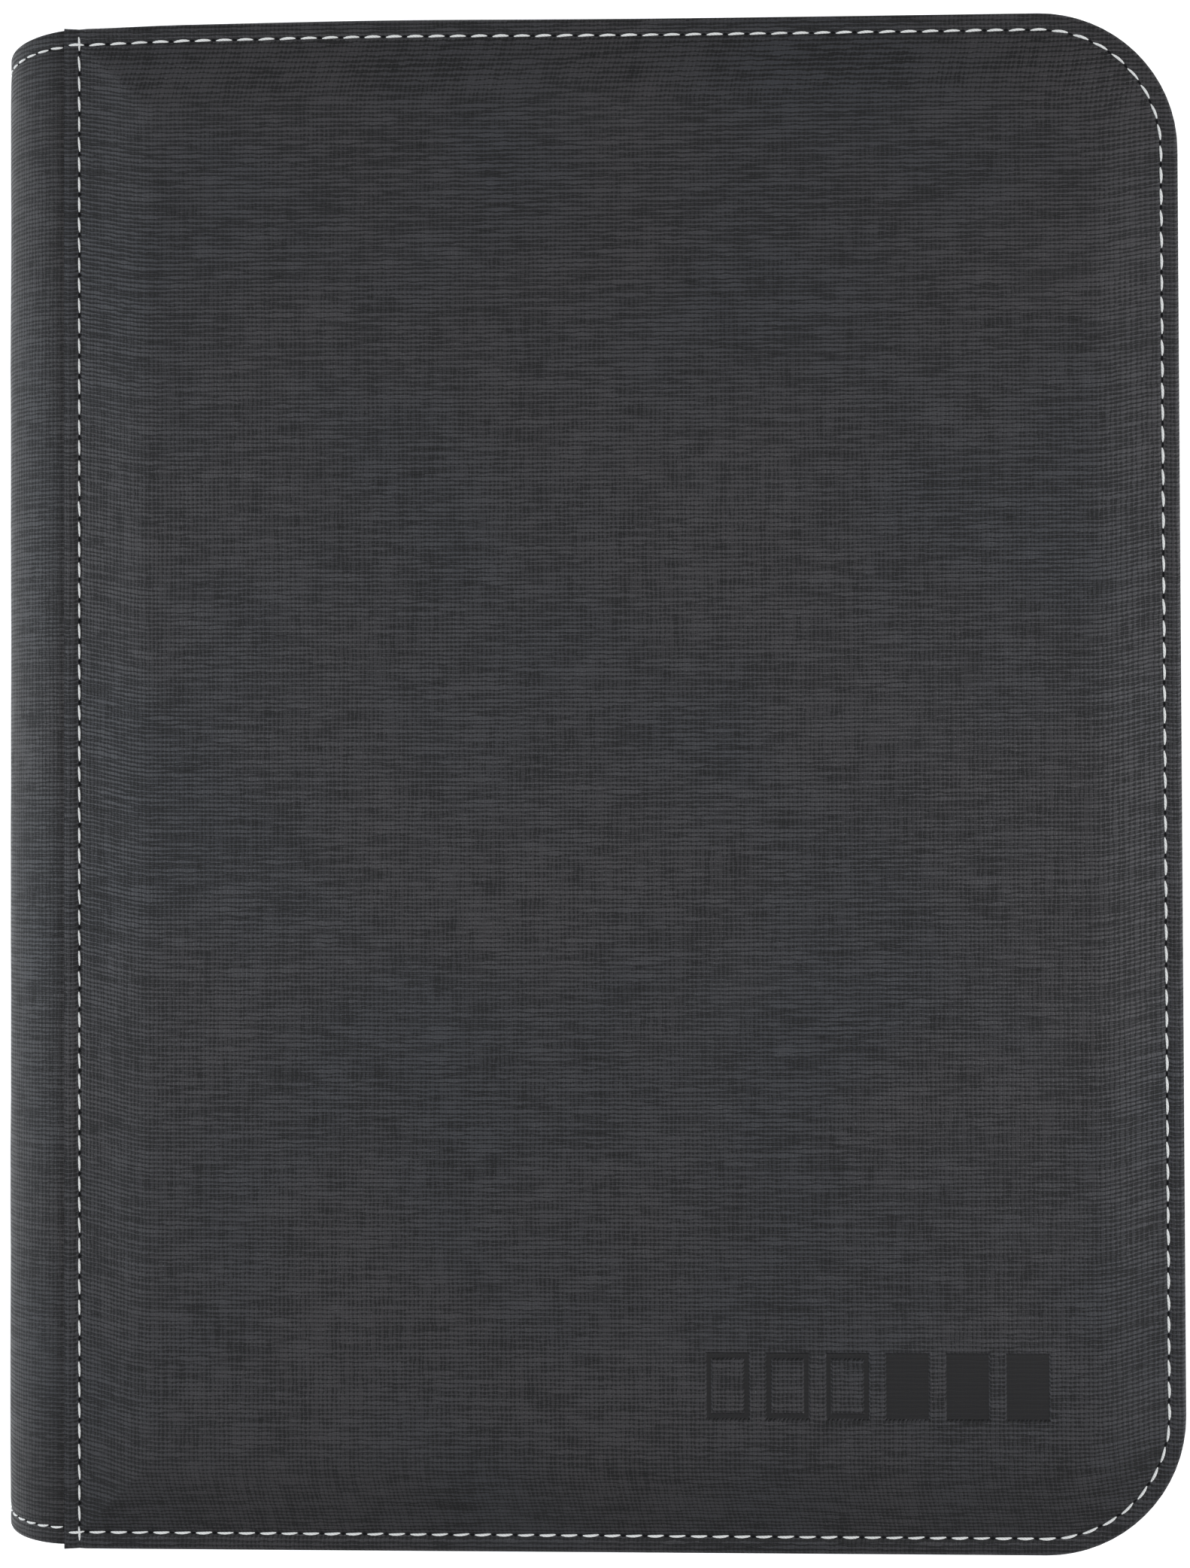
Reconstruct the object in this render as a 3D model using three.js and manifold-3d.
// Zip-around card binder, lying closed on its back cover.
// Millimetres. +X from the spine to the fore edge, +Y to the binder's head, +Z up.
// Origin: on the resting face of the back cover, at the middle of the binder.
import * as THREE from 'three';
import { mergeVertices } from 'three/addons/utils/BufferGeometryUtils.js';
import Module from 'manifold-3d';

// Overall sizes
const HEIGHT = 343; // head to tail
const WIDTH = 266.7; // outermost of the spine to the fore edge
const THICKNESS = 38; // closed, over both padded covers
const CORNER_RADIUS = 31; // covers' corners at the fore edge
const SPINE_BULGE = 16.8; // how far the rounded spine stands out past the seams

// Cover layers, outside to inside
const GAP = 0.3; // between pieces that lie on each other
const SKIN = 0.9;
const FOAM = 2.6;
const BOARD = 1.5;
const LINING = 0.5;
const RIM_WIDTH = 5.2; // flat stitched rim outside the padding
const PAD_SLOPE = 15; // width over which the padding rises from the rim

// Spine layers
const SPINE_FOAM = 1.2;
const SPINE_BOARD = 1;
const SPINE_SETBACK = 0.3; // spine leatherette lies under the covers' level at the seam
const SEAM_GAP = 0.15; // each side of a hinge line
const SPINE_END_INSET = 5.5; // foam and board stop short of the spine's sewn ends

// Zipper
const TAPE = 0.5;
const TAPE_INSET = 6.5; // outer face of the standing tape, in from the covers' edge
const TAPE_START = 2.4; // tape's ends, in from the seams
const COIL_THICKNESS = 1.4;
const COIL_HEIGHT = 1.3;
const ROW_GAP = 1.1; // between the two rows
const STOP_LENGTH = 2.6;
const STOP_THICKNESS = 2;

// Slider and pull
const SLIDER_LENGTH = 13;
const SLIDER_WIDE = 9.6; // at the divided end
const SLIDER_NARROW = 7; // at the joined end
const SLIDER_PLATE = 1;
const SLIDER_CLEARANCE = 0.4; // plate to coil
const POST_LENGTH = 4;
const POST_THICKNESS = 0.5;
const BRIDGE_WIDTH = 2.6;
const BRIDGE_WALL = 0.8;
const PIVOT_RADIUS = 0.7;
const PIVOT_CLEARANCE = 0.4;
const PULL_LENGTH = 18;
const PULL_WIDTH = 8;
const PULL_THICKNESS = 1.2;
const PULL_RAIL = 1.8; // each side of the pull's eye
const PULL_EYE = 4.4; // reach of the eye from the pivot

// Pages
const PAGE_COUNT = 20;
const PAGE_END_ROOM = 19.5; // pages' head and tail edges to the standing tape
const PAGE_FORE_ROOM = 7.4; // pages' free edges to the standing tape
const PAGE_THICKNESS = 0.4;
const PAGE_CORNER = 5;
const PAGE_CLEARANCE = 0.35; // outermost pages to the linings
const BINDING_SETBACK = 6.4; // pages' hinge lines, in from the seams
const PAGE_ROOT = 0.6; // page's bound edge, in front of its hinge line
const STRIP_CLEARANCE = 0.9; // binding strip, behind the hinge lines
const STRIP = 1.6;

const ARC_STEPS = 6; // per eighth of a turn
const PAD_STEPS = 4;

// Places worked out from the sizes
const foreX = WIDTH / 2;
const seamX = SPINE_BULGE - WIDTH / 2;
const halfHeight = HEIGHT / 2;
const midZ = THICKNESS / 2;
const rimZ = FOAM + GAP;
const boardZ = rimZ + SKIN + GAP;
const liningZ = boardZ + BOARD + GAP;
const stackZ = liningZ + LINING;
const coilTopZ = midZ - ROW_GAP / 2;
const coilBottomZ = coilTopZ - COIL_HEIGHT;
const tapeMid = TAPE_INSET + TAPE / 2;
const tapeStartX = seamX + TAPE_START;
const coilStartX = tapeStartX + STOP_LENGTH + 2 * GAP;
const pageHingeX = seamX + BINDING_SETBACK;
const pageWidth = foreX - TAPE_INSET - TAPE - PAGE_FORE_ROOM - pageHingeX - PAGE_ROOT;
const pageHeight = HEIGHT - 2 * (TAPE_INSET + TAPE + PAGE_END_ROOM);
const stripX = pageHingeX - STRIP_CLEARANCE - STRIP;

const wasm = await Module();
wasm.setup();

const finishes = {
  leatherette: { color: 0x343437, roughness: 0.62, metalness: 0 },
  foam: { color: 0x2b2b2d, roughness: 0.95, metalness: 0 },
  board: { color: 0x6d675e, roughness: 0.9, metalness: 0 },
  lining: { color: 0x1b1b1d, roughness: 0.85, metalness: 0 },
  tape: { color: 0x19191b, roughness: 0.9, metalness: 0 },
  coil: { color: 0x202022, roughness: 0.45, metalness: 0 },
  metal: { color: 0x2f3033, roughness: 0.32, metalness: 1 },
  page: { color: 0x141416, roughness: 0.25, metalness: 0 },
};

function piece(name, geometry, finish) {
  const mesh = new THREE.Mesh(geometry, new THREE.MeshStandardMaterial(finishes[finish]));
  mesh.name = name;
  return mesh;
}

// Solids for joining and cutting
function toSolid(geometry) {
  const plain = geometry.clone();
  plain.deleteAttribute('normal');
  plain.deleteAttribute('uv');
  const merged = mergeVertices(plain, 1e-4);
  const vertProperties = new Float32Array(merged.attributes.position.array);
  const triVerts = new Uint32Array(merged.index.array);
  return new wasm.Manifold(new wasm.Mesh({ numProp: 3, vertProperties, triVerts }));
}

function toGeometry(solid) {
  const mesh = solid.getMesh();
  const geometry = new THREE.BufferGeometry();
  geometry.setAttribute('position', new THREE.BufferAttribute(mesh.vertProperties, 3));
  geometry.setIndex(new THREE.BufferAttribute(mesh.triVerts, 1));
  geometry.computeVertexNormals();
  return geometry;
}

function join(...geometries) {
  const solids = geometries.map(toSolid);
  return toGeometry(solids.reduce((whole, next) => whole.add(next)));
}

function cut(geometry, tool) {
  return toGeometry(toSolid(geometry).subtract(toSolid(tool)));
}

function slab(shape, lowZ, highZ) {
  const options = { depth: highZ - lowZ, bevelEnabled: false, curveSegments: ARC_STEPS };
  return new THREE.ExtrudeGeometry(shape, options).translate(0, 0, lowZ);
}

function block(sizeX, sizeY, sizeZ, x, y, z) {
  return new THREE.BoxGeometry(sizeX, sizeY, sizeZ).translate(x, y, z);
}

// Cover outline: square at the spine, rounded at the fore edge
function coverOutline(inset, spineInset = inset) {
  const left = seamX + SEAM_GAP + spineInset;
  const right = foreX - inset;
  const half = halfHeight - inset;
  const radius = CORNER_RADIUS - inset;
  const shape = new THREE.Shape();
  shape.moveTo(left, half);
  shape.lineTo(left, -half);
  shape.absarc(right - radius, radius - half, radius, -Math.PI / 2, 0);
  shape.absarc(right - radius, half - radius, radius, 0, Math.PI / 2);
  return shape;
}

// Band that follows three sides of the cover, open at the spine
function edgeBand(outerInset, innerInset, startX) {
  const shape = new THREE.Shape();
  const half = halfHeight - outerInset;
  const outerRadius = CORNER_RADIUS - outerInset;
  const innerRadius = CORNER_RADIUS - innerInset;
  const arcX = foreX - CORNER_RADIUS;
  const arcY = halfHeight - CORNER_RADIUS;
  shape.moveTo(startX, innerInset - halfHeight);
  shape.lineTo(startX, -half);
  shape.absarc(arcX, -arcY, outerRadius, -Math.PI / 2, 0);
  shape.absarc(arcX, arcY, outerRadius, 0, Math.PI / 2);
  shape.lineTo(startX, half);
  shape.lineTo(startX, halfHeight - innerInset);
  shape.absarc(arcX, arcY, innerRadius, Math.PI / 2, 0, true);
  shape.absarc(arcX, -arcY, innerRadius, 0, -Math.PI / 2, true);
  return shape;
}

// Solid through a stack of cover outlines, each { inset, z }, from low z to high z
function loft(levels) {
  const rings = levels.map(({ inset }) => coverOutline(inset).getPoints(ARC_STEPS));
  const count = rings[0].length;
  const positions = [];
  rings.forEach((ring, level) => {
    ring.forEach((point) => positions.push(point.x, point.y, levels[level].z));
  });
  const indices = [];
  for (let level = 0; level < rings.length - 1; level += 1) {
    for (let i = 0; i < count; i += 1) {
      const low = level * count;
      const next = (i + 1) % count;
      indices.push(low + i, low + next, low + count + next);
      indices.push(low + i, low + count + next, low + count + i);
    }
  }
  const cap = (ring) => THREE.ShapeUtils.triangulateShape(ring, []);
  const top = (rings.length - 1) * count;
  cap(rings[0]).forEach(([a, b, c]) => indices.push(a, c, b));
  cap(rings.at(-1)).forEach(([a, b, c]) => indices.push(top + a, top + b, top + c));
  const geometry = new THREE.BufferGeometry();
  geometry.setAttribute('position', new THREE.Float32BufferAttribute(positions, 3));
  geometry.setIndex(indices);
  geometry.computeVertexNormals();
  return geometry;
}

// Levels of the padding's slope, from the crown out to the rim
function padLevels(crownZ, rise, extraInset) {
  const levels = [];
  for (let step = 0; step <= PAD_STEPS; step += 1) {
    const share = step / PAD_STEPS;
    const inset = RIM_WIDTH + extraInset + PAD_SLOPE * (1 - share);
    levels.push({ inset, z: crownZ + (rise * (1 - Math.cos(Math.PI * share))) / 2 });
  }
  return levels;
}

// Cover pieces, modelled for the back cover, whose outer face is at z = 0
function coverSkin() {
  const outside = loft([
    ...padLevels(0, rimZ, 0),
    { inset: 0, z: rimZ },
    { inset: 0, z: stackZ },
  ]);
  const inside = loft([
    ...padLevels(SKIN, rimZ, 0),
    { inset: SKIN, z: rimZ + SKIN },
    { inset: SKIN, z: stackZ + SKIN },
  ]);
  return cut(outside, inside);
}

function coverFoam() {
  return loft(padLevels(SKIN + GAP, FOAM, 2 * GAP));
}

function coverBoard() {
  return slab(coverOutline(SKIN + GAP), boardZ, boardZ + BOARD);
}

function coverLining() {
  return slab(coverOutline(TAPE_INSET + TAPE + GAP, SKIN + GAP), liningZ, stackZ);
}

function coverTape() {
  const flange = slab(edgeBand(SKIN + GAP, TAPE_INSET + TAPE, tapeStartX), liningZ, stackZ);
  const wallBand = edgeBand(TAPE_INSET, TAPE_INSET + TAPE, tapeStartX);
  return join(flange, slab(wallBand, liningZ, coilBottomZ - GAP));
}

function coverCoil() {
  const half = COIL_THICKNESS / 2;
  return slab(edgeBand(tapeMid - half, tapeMid + half, coilStartX), coilBottomZ, coilTopZ);
}

// side is 1 for the stop at the head, -1 for the one at the tail
function coverStop(side) {
  const x = tapeStartX + STOP_LENGTH / 2;
  const z = (coilBottomZ + coilTopZ) / 2;
  return block(STOP_LENGTH, STOP_THICKNESS, COIL_HEIGHT, x, side * (halfHeight - tapeMid), z);
}

function makeCover(prefix, headSide) {
  const cover = new THREE.Group();
  cover.add(piece(`${prefix}_outer_skin`, coverSkin(), 'leatherette'));
  cover.add(piece(`${prefix}_foam_pad`, coverFoam(), 'foam'));
  cover.add(piece(`${prefix}_board`, coverBoard(), 'board'));
  cover.add(piece(`${prefix}_lining`, coverLining(), 'lining'));
  cover.add(piece(`${prefix}_zipper_tape`, coverTape(), 'tape'));
  cover.add(piece(`${prefix}_zipper_coil`, coverCoil(), 'coil'));
  cover.add(piece(`${prefix}_stop_head`, coverStop(headSide), 'metal'));
  cover.add(piece(`${prefix}_stop_tail`, coverStop(-headSide), 'metal'));
  return cover;
}

// Spine layer: half an elliptical ring in XZ, with straight ends that reach to endX
function spineSection(depth, thickness, endX) {
  const centreX = seamX - SEAM_GAP;
  const radiusX = SPINE_BULGE - SEAM_GAP - depth;
  const radiusZ = midZ - rimZ - SPINE_SETBACK - depth;
  const shape = new THREE.Shape();
  const up = Math.PI / 2;
  shape.moveTo(endX, midZ + radiusZ - thickness);
  shape.lineTo(endX, midZ + radiusZ);
  shape.absellipse(centreX, midZ, radiusX, radiusZ, up, 3 * up, false, 0);
  shape.lineTo(endX, midZ - radiusZ);
  shape.lineTo(endX, midZ - radiusZ + thickness);
  shape.absellipse(
    centreX, midZ, radiusX - thickness, radiusZ - thickness, 3 * up, up, true, 0,
  );
  return shape;
}

// Stands a section drawn in XZ along Y, over the given length
function alongY(shape, length) {
  const options = { depth: length, bevelEnabled: false, curveSegments: 2 * ARC_STEPS };
  const geometry = new THREE.ExtrudeGeometry(shape, options);
  return geometry.rotateX(Math.PI / 2).translate(0, length / 2, 0);
}

function spinePiece(name, finish, depth, thickness, endX, endInset) {
  const section = spineSection(depth, thickness, endX);
  return piece(name, alongY(section, HEIGHT - 2 * endInset), finish);
}

function makeSpine() {
  const spine = new THREE.Group();
  const hingeEnd = seamX - SEAM_GAP;
  const foamDepth = SKIN + GAP;
  const boardDepth = foamDepth + SPINE_FOAM + GAP;
  const liningDepth = boardDepth + SPINE_BOARD + GAP;
  const liningInset = tapeMid + STOP_THICKNESS / 2 + GAP; // between the rows' end stops
  spine.add(spinePiece('spine_outer_skin', 'leatherette', 0, SKIN, hingeEnd, 0));
  spine.add(
    spinePiece('spine_foam_pad', 'foam', foamDepth, SPINE_FOAM, hingeEnd, SPINE_END_INSET),
  );
  spine.add(
    spinePiece('spine_board', 'board', boardDepth, SPINE_BOARD, hingeEnd, SPINE_END_INSET),
  );
  spine.add(
    spinePiece('spine_lining', 'lining', liningDepth, LINING, stripX - GAP, liningInset),
  );
  const stripHeight = THICKNESS - 2 * (stackZ + GAP);
  const strip = block(STRIP, pageHeight, stripHeight, stripX + STRIP / 2, 0, midZ);
  spine.add(piece('page_binding_strip', strip, 'lining'));
  return spine;
}

// Page: square at the binding, small rounded corners at its free edge
function pageGeometry() {
  const half = pageHeight / 2;
  const arcX = pageWidth - PAGE_CORNER;
  const arcY = half - PAGE_CORNER;
  const shape = new THREE.Shape();
  shape.moveTo(0, half);
  shape.lineTo(0, -half);
  shape.absarc(arcX, -arcY, PAGE_CORNER, -Math.PI / 2, 0);
  shape.absarc(arcX, arcY, PAGE_CORNER, 0, Math.PI / 2);
  return slab(shape, -PAGE_THICKNESS / 2, PAGE_THICKNESS / 2);
}

function makePages() {
  const pages = new THREE.Group();
  const firstZ = stackZ + PAGE_CLEARANCE + PAGE_THICKNESS / 2;
  const pitch = (THICKNESS - 2 * firstZ) / (PAGE_COUNT - 1);
  for (let number = 1; number <= PAGE_COUNT; number += 1) {
    const name = `page_${String(number).padStart(2, '0')}`;
    const page = piece(name, pageGeometry(), 'page');
    page.position.set(pageHingeX + PAGE_ROOT, 0, firstZ + pitch * (number - 1));
    pages.add(page);
  }
  return pages;
}

// Slider, in its own frame: X along the run, Y out of the binder, Z across the rows
const plateFaceY = COIL_THICKNESS / 2 + SLIDER_CLEARANCE + SLIDER_PLATE;
const pivotY = plateFaceY + PIVOT_CLEARANCE + PIVOT_RADIUS;

function sliderPlate(y) {
  const half = SLIDER_LENGTH / 2;
  const wide = SLIDER_WIDE / 2;
  const narrow = SLIDER_NARROW / 2;
  const shape = new THREE.Shape();
  shape.moveTo(-half + 1.5, -wide);
  shape.bezierCurveTo(0, -wide, 0, -narrow, half - 1, -narrow);
  shape.quadraticCurveTo(half, -narrow, half, -narrow + 1);
  shape.lineTo(half, narrow - 1);
  shape.quadraticCurveTo(half, narrow, half - 1, narrow);
  shape.bezierCurveTo(0, narrow, 0, wide, -half + 1.5, wide);
  shape.quadraticCurveTo(-half, wide, -half, wide - 1.5);
  shape.lineTo(-half, 1.5 - wide);
  shape.quadraticCurveTo(-half, -wide, -half + 1.5, -wide);
  const options = { depth: SLIDER_PLATE, bevelEnabled: false, curveSegments: 6 };
  const plate = new THREE.ExtrudeGeometry(shape, options);
  return plate.rotateX(Math.PI / 2).translate(0, y + SLIDER_PLATE, 0);
}

function sliderGeometry() {
  const innerFace = plateFaceY - SLIDER_PLATE;
  const postX = (POST_LENGTH - SLIDER_LENGTH) / 2;
  const postDepth = 2 * innerFace + SLIDER_PLATE;
  const legX = PIVOT_RADIUS + PIVOT_CLEARANCE + BRIDGE_WALL / 2;
  const roofY = pivotY + PIVOT_RADIUS + PIVOT_CLEARANCE;
  const legTop = roofY + BRIDGE_WALL;
  const legBase = plateFaceY - SLIDER_PLATE / 2;
  const legSize = [BRIDGE_WALL, legTop - legBase, BRIDGE_WIDTH];
  const legY = (legTop + legBase) / 2;
  const roofLength = 2 * legX + BRIDGE_WALL;
  return join(
    sliderPlate(innerFace),
    sliderPlate(-plateFaceY),
    block(POST_LENGTH, postDepth, POST_THICKNESS, postX, 0, 0),
    block(...legSize, -legX, legY, 0),
    block(...legSize, legX, legY, 0),
    block(roofLength, BRIDGE_WALL, BRIDGE_WIDTH, 0, roofY + BRIDGE_WALL / 2, 0),
  );
}

// Pull, from its pivot bar along +X
function pullGeometry() {
  const half = PULL_WIDTH / 2;
  const shape = new THREE.Shape();
  shape.moveTo(0, half);
  shape.lineTo(0, -half);
  shape.absarc(PULL_LENGTH - half, 0, half, -Math.PI / 2, Math.PI / 2);
  const options = { depth: PULL_THICKNESS, bevelEnabled: false, curveSegments: ARC_STEPS };
  const plate = new THREE.ExtrudeGeometry(shape, options);
  plate.rotateX(Math.PI / 2).translate(0, PULL_THICKNESS / 2, 0);
  const eyeWidth = PULL_WIDTH - 2 * PULL_RAIL;
  const eye = block(2 * PULL_EYE, 2 * PULL_THICKNESS, eyeWidth, 0, 0, 0);
  const bar = new THREE.CylinderGeometry(PIVOT_RADIUS, PIVOT_RADIUS, PULL_WIDTH, 16);
  return join(cut(plate, eye), bar.rotateX(Math.PI / 2));
}

function makeSlider() {
  const slider = new THREE.Group();
  slider.add(piece('zipper_slider', sliderGeometry(), 'metal'));
  const pull = piece('zipper_pull', pullGeometry(), 'metal');
  pull.position.y = pivotY;
  slider.add(pull);
  return slider;
}

const binder = new THREE.Group();

const backCover = makeCover('back', 1);
binder.add(backCover);

// The front cover is the back cover turned over about X
const frontCover = makeCover('front', -1);
frontCover.rotation.x = Math.PI;
frontCover.position.z = THICKNESS;
binder.add(frontCover);

binder.add(makeSpine());
binder.add(makePages());

// Parked at the spine end of the tail run, its outer plate turned to the tail
const slider = makeSlider();
slider.rotation.x = Math.PI;
slider.position.set(coilStartX + 1 + SLIDER_LENGTH / 2, tapeMid - halfHeight, midZ);
binder.add(slider);

export default binder;
